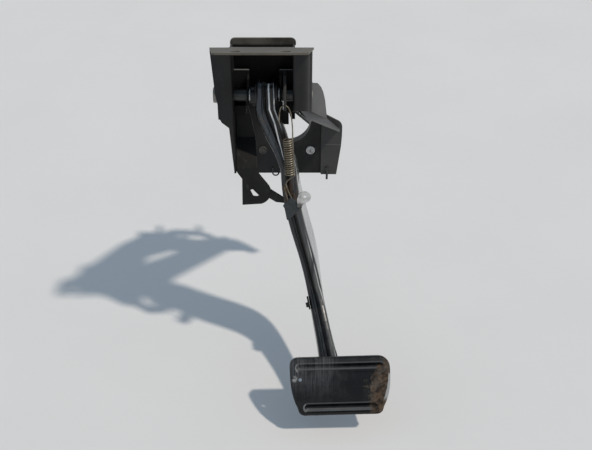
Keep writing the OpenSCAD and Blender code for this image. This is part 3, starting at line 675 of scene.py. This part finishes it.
def tube(path, radius, sides):
    """Points and faces of a closed round wire along a path; radius is one number or one per point."""
    radii = radius if isinstance(radius, list) else [radius] * len(path)
    verts = []
    faces = []
    last = len(path) - 1
    side = Vector((0.1, 1, 0.05))
    for i, point in enumerate(path):
        along = (path[min(i + 1, last)] - path[max(i - 1, 0)]).normalized()
        u = (side - along * side.dot(along)).normalized()
        side = u
        v = along.cross(u)
        for k in range(sides):
            turn = math.tau * k / sides
            verts.append(point + (u * math.cos(turn) + v * math.sin(turn)) * radii[i])
    for i in range(last):
        for k in range(sides):
            n = (k + 1) % sides
            faces.append((i * sides + k, i * sides + n, (i + 1) * sides + n, (i + 1) * sides + k))
    faces.append(tuple(reversed(range(sides))))
    faces.append(tuple(range(last * sides, (last + 1) * sides)))
    return verts, faces


class SpringSizes(bpy.types.PropertyGroup):
    """The return spring."""

    coil_radius: bpy.props.FloatProperty(
        name="Coil Radius", description="Outer radius of the coil in millimetres", default=6.6,
    )
    wire_radius: bpy.props.FloatProperty(
        name="Wire Radius", description="Radius of the wire in millimetres", default=0.8,
    )
    turns: bpy.props.IntProperty(
        name="Turns", description="Number of turns in the coil", default=16,
    )


class PEDAL_OT_spring(bpy.types.Operator):
    """Makes the extension spring as one fixed mesh, though the real one stretches as the pedal is pressed"""

    bl_idname = "pedal.spring"
    bl_label = "Return Spring"

    def execute(self, context):
        sizes = context.scene.pedal_spring
        top = Vector((4.3, -209.5, 83))
        bottom = Vector((6.7, -213, 34))
        mean = sizes.coil_radius - sizes.wire_radius
        axis = (bottom - top).normalized()
        side = Vector((0, 1, 0)).cross(axis).normalized()
        back = axis.cross(side)

        def coil(share):
            turn = math.tau * sizes.turns * share + math.pi
            centre = top.lerp(bottom, share)
            return centre + side * (mean * math.cos(turn)) + back * (mean * math.sin(turn))

        # The upper hook, from its free end through the hanger to the coil
        upper = [Vector((-6.2, -208, 103.5))]
        upper += bezier(upper[-1], (-6.2, -207.4, 117), (-5.4, -206.8, 126.4), (-0.8, -206.8, 126.7), 14)
        upper += bezier(upper[-1], (4.6, -206.8, 127), (6, -207, 123.6), (8, -207.8, 116), 12)
        upper += bezier(upper[-1], (9.4, -208.4, 108), (10.3, -209, 98), coil(0) + Vector((0, 0, 2.4)), 9)
        steps = sizes.turns * POINTS_PER_TURN
        coils = [coil(i / steps) for i in range(steps + 1)]
        # The lower hook, from the coil through the eye on the arm to its free end
        lower = bezier(coil(1), coil(1) - Vector((0, 0, 5)), (0.4, -213.6, 28), (1.6, -213.6, 20), 8)
        lower += bezier(lower[-1], (4, -213.6, 8), (9.4, -213.6, 0), (9.6, -213.6, -5), 9)
        lower += bezier(lower[-1], (9.8, -213.6, -12.4), (4.4, -213.6, -12.4), (4.4, -213.6, -6), 12)
        lower += bezier(lower[-1], (3.4, -213.6, -1), (1.6, -213.6, 6), (-0.6, -213.6, 16), 8)
        verts, faces = tube(upper + coils + lower, sizes.wire_radius, 10)
        piece = new_piece("spring_coil", verts, faces, "spring_wire", None)
        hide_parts("return_spring")
        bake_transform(piece)
        return {"FINISHED"}


class PadSizes(bpy.types.PropertyGroup):
    """The pressed pad."""

    width: bpy.props.FloatProperty(
        name="Pad Width", description="Width of the pad in millimetres", default=132.6,
    )
    height: bpy.props.FloatProperty(
        name="Pad Height", description="Height of the pad in millimetres", default=76.6,
    )
    crown: bpy.props.FloatProperty(
        name="Crown", description="Radius of the crowned face in millimetres", default=150.0,
    )
    sheet: bpy.props.FloatProperty(
        name="Sheet", description="Thickness of the pad in millimetres", default=2.2,
    )
    rim: bpy.props.FloatProperty(
        name="Rim", description="Depth of the turned rim in millimetres", default=8.0,
    )


# Where the pad sits on the arm, its lean from upright and its roll
PAD_PLACE = Vector((72.6, -328.2, -219.7))
PAD_LEAN = 37.8
PAD_ROLL = 1.6
# The small hole: how far in from the left edge, how far up from the middle, and its radius
PAD_HOLE = (13.7, 9.7, 2.2)
# The two grooves in the pad's own plane: middle line, length, and how far down their lower
# flank the painted highlight reaches, in metres; then half their width
PAD_GROOVES = ((24.6, 115, 0.0034), (-27.4, 96, 0.0052))
GROOVE_HALF = 5.0


def pad_matrix():
    """From the pad's own axes, with z out of its face, to the pedal's."""
    lean = Matrix.Rotation(math.radians(90 - PAD_LEAN), 4, "X")
    return Matrix.Translation(PAD_PLACE) @ lean @ Matrix.Rotation(math.radians(PAD_ROLL), 4, "Z")


def arc(cx, cy, r, start, end, steps):
    """Points of an arc between two angles in degrees."""
    turns = [math.radians(start + (end - start) * i / steps) for i in range(steps + 1)]
    return [Vector((cx + r * math.cos(a), cy + r * math.sin(a))) for a in turns]


def pad_outline(sizes):
    """Edge of the pad in its own plane, evenly spaced, rounder at its upper right."""
    hw, hh = sizes.width / 2, sizes.height / 2
    # Upper corners' radii, how far the sides draw in going down, and the lower corners' radius
    left, right, waist, toe = 10, 15, 10, 9
    foot = hw - 18.5
    side = [i / 7 for i in range(1, 8)]
    points = arc(hw - right, hh - right, right, 0, 90, 12)
    points += arc(-hw + left, hh - left, left, 90, 180, 12)
    points += [Vector((-hw + waist * f**3, hh - left - (2 * hh - left - toe) * f)) for f in side]
    points += arc(-foot, -hh + toe, toe, 205, 270, 8)
    points += arc(foot, -hh + toe, toe, 270, 335, 8)
    points += [Vector((hw - waist * f**3, hh - right - (2 * hh - right - toe) * f)) for f in reversed(side)]
    return resampled(points, 1.5)


def resampled(points, spacing):
    """A closed line's points again, at an even spacing, its small corners eased."""
    loop = points + [points[0]]
    lengths = [(b - a).length for a, b in zip(loop, loop[1:])]
    count = round(sum(lengths) / spacing)
    gap = sum(lengths) / count
    made = []
    at = 0
    done = 0.0
    for i in range(count):
        want = i * gap
        while done + lengths[at] < want:
            done += lengths[at]
            at += 1
        made.append(loop[at].lerp(loop[at + 1], (want - done) / max(lengths[at], 1e-9)))
    for _ in range(3):
        made = [(made[i - 1] + made[i] * 2 + made[(i + 1) % count]) / 4 for i in range(count)]
    return made


def smooth_fall(value, start, end):
    """1 up to start and 0 past end, with a smooth fall between."""
    t = min(max((value - start) / (end - start), 0), 1)
    return 1 - t * t * (3 - 2 * t)


class PEDAL_OT_pad(bpy.types.Operator):
    """Makes the crowned pad with its turned rim and two pressed grooves"""

    bl_idname = "pedal.pad"
    bl_label = "Pad"

    def execute(self, context):
        sizes = context.scene.pedal_pad
        hh = sizes.height / 2
        rim_bend = 3.4
        half = GROOVE_HALF
        groove_depth = 3.2

        def surface(point, inset):
            """Height of the face: crown, less the grooves with their raised lips, less the rim's bend."""
            z = math.sqrt(sizes.crown**2 - point.y**2) - sizes.crown
            for row, length, _ in PAD_GROOVES:
                past = max(abs(point.x) - (length / 2 - half), 0)
                off = math.hypot(past, point.y - row)
                z -= groove_depth * smooth_fall(off, half * 0.22, half * 1.02)
                z += 0.3 * smooth_fall(abs(off - half * 1.3), 0, half * 0.45)
            if inset < rim_bend:
                z -= rim_bend - math.sqrt(max(rim_bend**2 - (rim_bend - inset) ** 2, 0))
            return z

        edge = pad_outline(sizes)
        count = len(edge)
        spine = sizes.width / 2 - hh + 6
        insets = [0, 0.12, 0.4, 0.8, 1.3, 1.9, 2.6, rim_bend]
        inner_rows = 46
        rings = []
        for back in (sizes.rim, sizes.rim * 0.6):
            rings.append([(p.x, p.y, surface(p, rim_bend) - back) for p in edge])
        rows = [("inset", d) for d in insets] + [("share", i / inner_rows) for i in range(1, inner_rows + 1)]
        for kind, amount in rows:
            ring = []
            for p in edge:
                middle = Vector((min(max(p.x, -spine), spine), 0))
                reach = (middle - p).length
                d = amount if kind == "inset" else rim_bend + (reach - rim_bend) * amount
                q = p.lerp(middle, d / reach)
                ring.append((q.x, q.y, surface(q, d)))
            rings.append(ring)
        verts = [v for ring in rings for v in ring]
        faces = []
        for i in range(len(rings) - 1):
            for k in range(count):
                n = (k + 1) % count
                faces.append((i * count + k, i * count + n, (i + 1) * count + n, (i + 1) * count + k))
        matrix = pad_matrix()
        piece = new_piece(
            "pad_shell", [matrix @ Vector(v) for v in verts], faces, "pad_enamel", "pedal"
        )
        tidy_mesh(piece, 0.00005)
        shell = piece.modifiers.new("sheet", "SOLIDIFY")
        shell.thickness = sizes.sheet * MM
        shell.offset = -1
        shell.use_even_offset = True
        keep_result(piece)
        across, up, radius = PAD_HOLE
        hole = matrix @ Vector((-sizes.width / 2 + across, up, 0))
        drill(piece, hole, matrix.to_3x3() @ Vector((0, 0, 1)), radius)
        smooth_normals(piece)
        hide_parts("pad_plate")
        return {"FINISHED"}


def tidy_mesh(obj, gap):
    """Merges points that meet, drops faces without area and turns the rest outward."""
    work = bmesh.new()
    work.from_mesh(obj.data)
    bmesh.ops.remove_doubles(work, verts=work.verts, dist=gap)
    bmesh.ops.dissolve_degenerate(work, dist=gap / 5, edges=work.edges)
    bmesh.ops.recalc_face_normals(work, faces=work.faces)
    work.to_mesh(obj.data)
    work.free()


def keep_result(obj):
    """Puts what the modifiers make into the piece's own mesh."""
    bpy.context.view_layer.update()
    result = bpy.data.meshes.new_from_object(obj.evaluated_get(bpy.context.evaluated_depsgraph_get()))
    obj.modifiers.clear()
    obj.data = result


def drill(obj, centre_mm, way, radius_mm):
    """Cuts a round hole through a piece."""
    sides = 32
    u = way.orthogonal().normalized()
    v = way.cross(u)
    ring = [
        u * math.cos(math.tau * k / sides) + v * math.sin(math.tau * k / sides) for k in range(sides)
    ]
    verts = [(centre_mm + p * radius_mm + way * h) * MM for h in (-12, 12) for p in ring]
    faces = [(k, (k + 1) % sides, sides + (k + 1) % sides, sides + k) for k in range(sides)]
    faces += [tuple(reversed(range(sides))), tuple(range(sides, 2 * sides))]
    mesh = bpy.data.meshes.new("drill")
    mesh.from_pydata(verts, [], faces)
    tool = bpy.data.objects.new("drill", mesh)
    bpy.context.collection.objects.link(tool)
    cut = obj.modifiers.new("hole", "BOOLEAN")
    cut.operation = "DIFFERENCE"
    cut.solver = "EXACT"
    cut.object = tool
    keep_result(obj)
    bpy.data.objects.remove(tool)
    bpy.data.meshes.remove(mesh)


def thread(start, way, length, root, crest, pitch):
    """Points and faces of a screw thread's ridge wound on a rod, in millimetres."""
    u = way.orthogonal().normalized()
    v = way.cross(u)
    steps = int((length - pitch) / pitch * POINTS_PER_TURN)
    half_turn = POINTS_PER_TURN // 2
    verts = []
    faces = []
    for i in range(steps + 1):
        turn = math.tau * i / POINTS_PER_TURN
        out = u * math.cos(turn) + v * math.sin(turn)
        ridge = root + (crest - root) * (min(i, steps - i, half_turn) / half_turn)
        along = pitch * i / POINTS_PER_TURN
        for shift, r in ((0.05, root), (0.42, ridge), (0.58, ridge), (0.95, root)):
            verts.append(start + way * (along + pitch * shift) + out * r)
    for i in range(steps):
        for k in range(4):
            n = (k + 1) % 4
            faces.append((i * 4 + k, i * 4 + n, (i + 1) * 4 + n, (i + 1) * 4 + k))
    faces.append((3, 2, 1, 0))
    faces.append(tuple(steps * 4 + k for k in range(4)))
    return verts, faces


def joined(groups):
    """Points and faces of several groups as one."""
    verts = []
    faces = []
    for more_verts, more_faces in groups:
        faces += [tuple(i + len(verts) for i in face) for face in more_faces]
        verts += more_verts
    return verts, faces


def weld_bead(path, radius):
    """A rippled bead of weld along a path."""
    points = []
    spacing = 0.45
    for a, b in zip(path, path[1:]):
        steps = max(round((b - a).length / spacing), 1)
        points += [a.lerp(b, i / steps) for i in range(steps)]
    points.append(path[-1])
    last = len(points) - 1
    radii = []
    for i in range(last + 1):
        ends = min(1, 0.35 + min(i, last - i) / 5)
        radii.append(radius * ends * (0.86 + 0.14 * abs(math.sin(i * 0.62)) + 0.05 * math.sin(i * 0.17)))
    return tube(points, radii, 12)


class PEDAL_OT_threads(bpy.types.Operator):
    """Winds the threads on the four studs and on the pivot bolt"""

    bl_idname = "pedal.threads"
    bl_label = "Threads"

    def execute(self, context):
        studs = []
        for x in (-STUD_SIDE, STUD_SIDE):
            for z in (STUD_HEIGHT - STUD_RISE, STUD_HEIGHT + STUD_RISE):
                start, way = Vector((x, 4, z)), Vector((0, 1, 0))
                studs.append(thread(start, way, length=19.5, root=3.95, crest=4.3, pitch=1.25))
        verts, faces = joined(studs)
        new_piece("stud_threads", verts, faces, "stud_zinc", "bracket")
        start = Vector((22.6, PIVOT.y, PIVOT.z))
        verts, faces = thread(
            start, Vector((1, 0, 0)), length=11.6, root=4.86, crest=5.2, pitch=1.5
        )
        new_piece("bolt_thread", verts, faces, "dull_bolt", "bracket")
        return {"FINISHED"}


# Thickness of the web and the gusset, in millimetres
WEB_SHEET = 2.2


def slab(name, outline, back, lean, finish, body):
    """A flat sheet from an outline in x and z, which leans back by that much per millimetre down."""
    count = len(outline)
    top = max(z for _, z in outline)
    verts = [(x, back + (top - z) * lean - gap, z) for gap in (WEB_SHEET, 0) for x, z in outline]
    faces = [tuple(range(count)), tuple(reversed(range(count, 2 * count)))]
    faces += [(k, count + k, count + (k + 1) % count, (k + 1) % count) for k in range(count)]
    piece = new_piece(name, verts, faces, finish, body)
    tidy_mesh(piece, 0.00001)
    soften(piece, 0.2)


class PEDAL_OT_webs(bpy.types.Operator):
    """Makes the web below the right support, and the gusset between the arm and its hub"""

    bl_idname = "pedal.webs"
    bl_label = "Webs"

    def execute(self, context):
        corners = [Vector(c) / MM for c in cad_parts["rear_cross_plate"].bound_box]
        back = max(c.y for c in corners)
        web = [(1.2, 129), (1.2, 104), (3.2, 96), (6, 88), (8, 80), (13, 80), (13, 129)]
        # The web and the gusset take the cross plate's darker paint: painted shade
        slab("support_web", web, back, 0.27, "cross_plate_black", "bracket")
        gusset = [
            (-10, 129), (-1.5, 129), (-1.5, 118.2), (5.4, 115), (5.4, 99), (-1, 99), (-6, 106), (-9, 118),
        ]
        slab("hub_gusset", gusset, -199.4, 0.0, "cross_plate_black", "pedal")
        return {"FINISHED"}


class PEDAL_OT_welds(bpy.types.Operator):
    """Lays the weld beads that hold the arm to its hub"""

    bl_idname = "pedal.welds"
    bl_label = "Welds"

    def execute(self, context):
        hub_radius = 12.7
        beads = []
        for x, bead_radius in ((-34.3, 1.5), (-9.7, 1.2)):
            ring = [
                PIVOT + Vector((x, hub_radius * math.cos(a), hub_radius * math.sin(a)))
                for a in (math.radians(d) for d in range(-150, 200, 6))
            ]
            beads.append(weld_bead(ring, bead_radius))
        verts, faces = joined(beads)
        new_piece("hub_welds", verts, faces, "painted_weld", "pedal")
        return {"FINISHED"}


class StageSizes(bpy.types.PropertyGroup):
    """The floor and the light."""

    floor_z: bpy.props.FloatProperty(
        name="Floor Height", description="Height of the floor, below the pressed pedal",
        default=-0.3, unit="LENGTH",
    )
    floor_tone: bpy.props.FloatVectorProperty(
        name="Floor Colour", description="Colour of the pale floor", subtype="COLOR",
        default=(0.67, 0.67, 0.665),
    )
    sun: bpy.props.FloatProperty(
        name="Key Light", description="Strength of the key light", default=2.36, min=0.0,
    )
    sky: bpy.props.FloatProperty(
        name="Sky Light", description="Strength of the light from all round", default=0.53, min=0.0,
    )


def shade_sky(tree, strength):
    """Sky light that is pale near the horizon and a deeper blue-grey overhead."""
    graph = Graph(tree)
    height = graph.parts(graph.node("ShaderNodeTexCoord", {}, {}, "Generated"))[2]
    colour = graph.mix(height.step(-0.05, 0.75), HORIZON, OVERHEAD)
    background = tree.nodes["Background"]
    background.inputs["Strength"].default_value = strength
    tree.links.new(colour.link, background.inputs["Color"])


class PEDAL_OT_stage(bpy.types.Operator):
    """Makes the floor, the key light, the sky and the camera"""

    bl_idname = "pedal.stage"
    bl_label = "Stage"

    def execute(self, context):
        sizes = context.scene.pedal_stage
        mesh = bpy.data.meshes.new("floor")
        half = 12.0
        z = sizes.floor_z
        mesh.from_pydata(
            [(-half, -half, z), (half, -half, z), (half, half, z), (-half, half, z)], [], [(0, 1, 2, 3)]
        )
        floor = bpy.data.objects.new("floor", mesh)
        context.collection.objects.link(floor)
        f = Finish("floor_pale")
        cloud = f.noise(3, 5, 0.6).step(0.3, 0.7)
        colour = f.mix(cloud, times(sizes.floor_tone, 0.985), times(sizes.floor_tone, 1.015))
        grain = f.noise(500, 4, 0.6)
        mesh.materials.append(
            f.shader(Base_Color=colour, Roughness=0.9, Normal=f.bump(grain, 0.05, 0.0005))
        )

        world = bpy.data.worlds.new("sky")
        world.use_nodes = True
        shade_sky(world.node_tree, sizes.sky)
        context.scene.world = world

        lamp = bpy.data.lights.new("key", "SUN")
        lamp.energy = sizes.sun
        lamp.angle = math.radians(2.5)
        lamp.color = (1.0, 0.9, 0.79)
        key = bpy.data.objects.new("key", lamp)
        key.rotation_mode = "QUATERNION"
        key.rotation_quaternion = SUN_WAY.to_track_quat("Z", "Y")
        context.collection.objects.link(key)

        data = bpy.data.cameras.new("camera")
        data.lens = CAMERA_LENS
        data.sensor_width = SENSOR_WIDTH
        data.clip_start = 0.05
        data.clip_end = 60
        camera = bpy.data.objects.new("camera", data)
        camera.location = CAMERA_PLACE
        camera.rotation_euler = (math.pi / 2 - CAMERA_PITCH, 0, 0)
        context.collection.objects.link(camera)
        context.scene.camera = camera
        context.scene.view_settings.view_transform = "Standard"
        return {"FINISHED"}


class PEDAL_PT_panel(bpy.types.Panel):
    """Lists the pieces that can be made."""

    bl_label = "Brake Pedal"
    bl_idname = "PEDAL_PT_panel"
    bl_space_type = "VIEW_3D"
    bl_region_type = "UI"
    bl_category = "Brake Pedal"

    def draw(self, context):
        for operator in OPERATORS:
            self.layout.operator(operator.bl_idname)


GROUPS = {
    "pedal_finish": FinishSizes, "pedal_spring": SpringSizes, "pedal_pad": PadSizes,
    "pedal_stage": StageSizes,
}
OPERATORS = (
    PEDAL_OT_finishes, PEDAL_OT_spring, PEDAL_OT_pad, PEDAL_OT_threads, PEDAL_OT_webs,
    PEDAL_OT_welds, PEDAL_OT_stage,
)


def register():
    """Adds the classes, and the sizes to the scene."""
    for cls in (*GROUPS.values(), *OPERATORS, PEDAL_PT_panel):
        bpy.utils.register_class(cls)
    for name, group in GROUPS.items():
        setattr(bpy.types.Scene, name, bpy.props.PointerProperty(type=group))


def unregister():
    """Takes away what register adds."""
    for name in GROUPS:
        delattr(bpy.types.Scene, name)
    for cls in reversed((*GROUPS.values(), *OPERATORS, PEDAL_PT_panel)):
        bpy.utils.unregister_class(cls)


def main():
    """Makes every piece and the stage."""
    register()
    bpy.ops.pedal.finishes()
    bpy.ops.pedal.spring()
    bpy.ops.pedal.pad()
    bpy.ops.pedal.threads()
    bpy.ops.pedal.webs()
    bpy.ops.pedal.welds()
    bpy.ops.pedal.stage()


if __name__ == "__main__":
    main()
